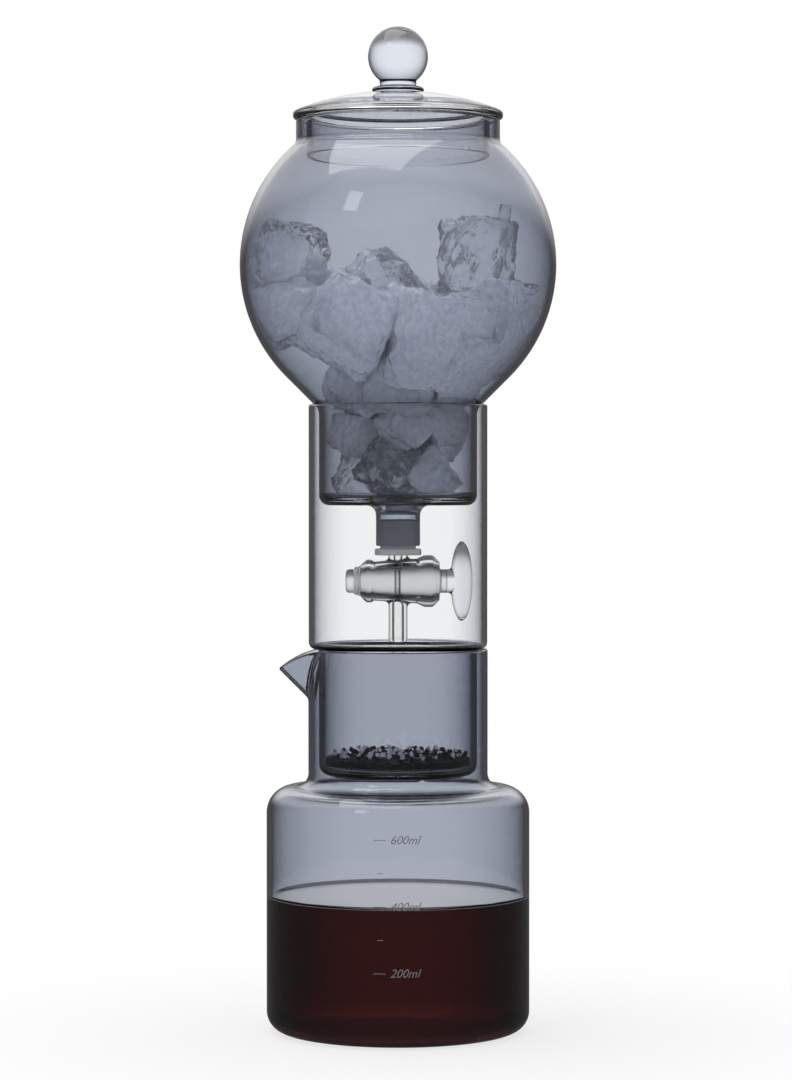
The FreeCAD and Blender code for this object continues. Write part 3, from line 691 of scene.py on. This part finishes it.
def scale_mark(name, height, left, length):
    deselect()
    bpy.ops.mesh.primitive_plane_add(size=1, rotation=UPRIGHT,
                                     location=((left + length / 2) * MM, 0, height * MM))
    piece = named(name)
    resized(piece, (length, MARK_THICK, 1))
    edit_all(piece)
    bpy.ops.mesh.subdivide(number_cuts=5)
    leave_edit()
    wrap_on_carafe(piece)
    finish_piece(piece, "carafe_body", scale_print)


for text, height in NUMBERED_MARKS:
    scale_number(text, height)
    scale_mark("mark_" + text, height, MARK_LEFT, MARK_LONG)
for number, height in enumerate(SHORT_MARKS, 1):
    scale_mark(f"mark_short_{number}", height, MARK_LEFT + SHORT_MARK_INDENT, SHORT_MARK_LONG)


# World and floor. Both are white to the camera. Through the glass, and mirrored in it, they are as
# bright as these numbers say, and brightest behind the tower.

SOFT_SURROUND = 0.6
INNER_LIGHT = 2.2
HIGH_SURROUND = 0.8
LOW_SURROUND = 0.25
SIDE_SURROUND = 0.22
MIRRORED_SIDE = 0.1
MIRRORED_BACK = 1.0

BACKWARD_BAND = (0.3, 0.9)
UPWARD_BAND = (0.25, 0.7)
MIRRORED_LEAN = 0.55
MIRRORED_BAND = (0.56, 0.8)

FLOOR_COLOUR = (0.97, 0.97, 0.97, 1)
FLOOR_RADIUS = 40
FLOOR_DROP = 0.0002
FLOOR_EDGE_ON_BAND = (0.6, 0.9)
SHADOW_REACH = (0.07, 0.25)
SHADOW_GLOW = 0.72


def side_fade(tree, direction):
    """Full brightness behind the tower, as seen from the camera, and less towards the sides."""
    backward = axes_of(tree, unit_of(tree, direction))["Y"]
    return ramped(tree, backward, BACKWARD_BAND, (SIDE_SURROUND, 1))


def world_light():
    world = bpy.data.worlds.new("studio")
    bpy.context.scene.world = world
    world.use_nodes = True
    tree = world.node_tree
    path = light_path(tree)
    direction = tree.nodes.new("ShaderNodeTexCoord").outputs["Generated"]
    axes = axes_of(tree, direction)
    through = ramped(tree, axes["Z"], UPWARD_BAND, (1, HIGH_SURROUND))
    through = computed(tree, "MULTIPLY", through, side_fade(tree, direction))
    lean = computed(tree, "MULTIPLY_ADD", axes["Y"], MIRRORED_LEAN, axes["Z"])
    mirrored = ramped(tree, lean, MIRRORED_BAND, (MIRRORED_SIDE, MIRRORED_BACK))
    through = mixed(tree, path["Glossy Depth"], through, mirrored)
    through = mixed(tree, path["Diffuse Depth"], through, INNER_LIGHT)
    strength = mixed(tree, path["Is Glossy Ray"], SOFT_SURROUND, mirrored)
    strength = mixed(tree, path["Is Transmission Ray"], strength, through)
    strength = mixed(tree, path["Is Camera Ray"], strength, 1)
    background = tree.nodes["Background"]
    feed(tree, WHITE, background.inputs["Color"])
    feed(tree, strength, background.inputs["Strength"])


def floor_material():
    """A pale floor that keeps the shadow near the object and turns white further out."""
    material = new_material("studio_floor")
    tree = material.node_tree
    set_surface(tree, {"Base Color": FLOOR_COLOUR, "Roughness": 1, "Specular IOR Level": 0})
    path = light_path(tree)
    place = object_place(tree)
    through = ramped(tree, edge_on(tree), FLOOR_EDGE_ON_BAND, (LOW_SURROUND, 1))
    through = computed(tree, "MULTIPLY", through, side_fade(tree, place))
    through = mixed(tree, path["Glossy Depth"], through, MIRRORED_SIDE)
    through = mixed(tree, path["Diffuse Depth"], through, INNER_LIGHT)
    strength = mixed(tree, path["Is Glossy Ray"], 1, MIRRORED_SIDE)
    strength = mixed(tree, path["Is Transmission Ray"], strength, through)
    glow = new_node(tree, "ShaderNodeEmission", {"Strength": strength})
    fade = ramped(tree, length_of(tree, place), SHADOW_REACH, (SHADOW_GLOW, 1))
    behind = mixed(tree, path["Glossy Depth"], fade, 1)
    amount = mixed(tree, path["Is Glossy Ray"], 0, 1)
    amount = mixed(tree, path["Is Transmission Ray"], amount, behind)
    amount = mixed(tree, path["Is Camera Ray"], amount, fade)
    lit = tree.nodes["Principled BSDF"].outputs["BSDF"]
    mix = new_node(tree, "ShaderNodeMixShader",
                   {"Fac": amount, 1: lit, 2: glow.outputs["Emission"]})
    feed(tree, mix.outputs["Shader"], tree.nodes["Material Output"].inputs["Surface"])
    return material


def studio_floor():
    deselect()
    bpy.ops.mesh.primitive_circle_add(vertices=64, radius=FLOOR_RADIUS, fill_type="NGON",
                                      location=(0, 0, -FLOOR_DROP))
    piece = named("studio_floor")
    settle()
    piece.data.materials.append(floor_material())


def lamp(name, place, aim, across, power):
    deselect()
    bpy.ops.object.light_add(type="AREA", location=place)
    piece = bpy.context.object
    piece.name = name
    piece.data.shape = "RECTANGLE"
    piece.data.size, piece.data.size_y = across
    piece.data.energy = power
    piece.visible_camera = False
    direction = Vector(aim) - Vector(place)
    piece.rotation_euler = direction.to_track_quat("-Z", "Y").to_euler()


world_light()
studio_floor()
lamp("window", place=(-1.0, -1.2, 1.65), aim=(0, 0, 0.25), across=(0.35, 0.5), power=1.3)
lamp("top_box", place=(-0.2, 0.1, 1.5), aim=(0, 0, 0.2), across=(1.0, 1.0), power=7)


# Camera, at the photograph's place: its frame is 792 by 1080 pixels.

FRAME_HEIGHT_PX = 1080
FOCAL_PX = 3500
CAMERA_BACK = 1395
CAMERA_HEIGHT = 217.6
CAMERA_LEFT = 0.8
CAMERA_DOWN = 0.9
SENSOR = 36
NEAREST = 0.01
FARTHEST = 100

deselect()
bpy.ops.object.camera_add(location=(-CAMERA_LEFT * MM, -CAMERA_BACK * MM, CAMERA_HEIGHT * MM),
                          rotation=(math.radians(90 - CAMERA_DOWN), 0, 0))
camera = bpy.context.object
camera.name = "photo_camera"
camera.data.sensor_width = SENSOR
camera.data.lens = SENSOR * FOCAL_PX / FRAME_HEIGHT_PX
camera.data.clip_start = NEAREST
camera.data.clip_end = FARTHEST
bpy.context.scene.camera = camera
bpy.context.scene.view_settings.view_transform = "Standard"
